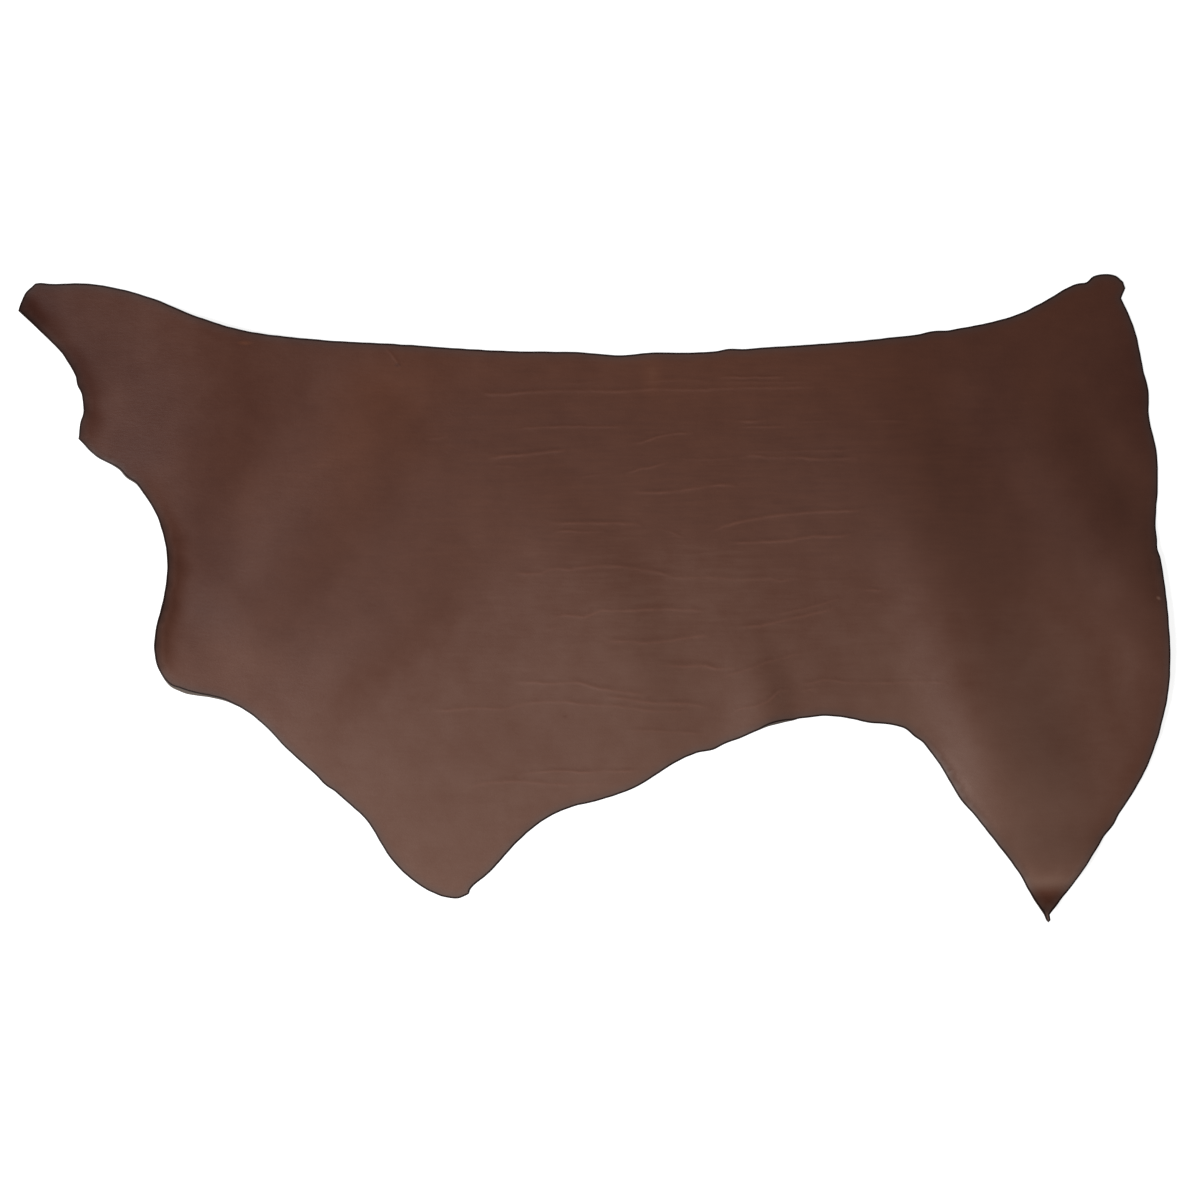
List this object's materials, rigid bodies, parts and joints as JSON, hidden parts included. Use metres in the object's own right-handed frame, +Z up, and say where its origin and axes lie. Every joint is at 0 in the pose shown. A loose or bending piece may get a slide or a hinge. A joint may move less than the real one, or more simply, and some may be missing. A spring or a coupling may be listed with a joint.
{
  "type": "leather hide",
  "caption": "One side of smooth dark brown cattle leather, cut down the backbone, lying grain side up with soft folds and lightly curled corners.",
  "frame": {"origin": "on the surface that the side lies on, under the middle of its box", "axes": "+X along the back from the head end to the tail, +Y from the belly to the backbone, +Z up out of the grain side"},
  "size_m": [2.3012, 1.296, 0.0235],
  "materials": {
    "grain_leather": "smooth aniline-dyed full grain with a low waxy sheen"
  },
  "bodies": {
    "root": {"hide": "grain_leather"}
  },
  "joints": []
}
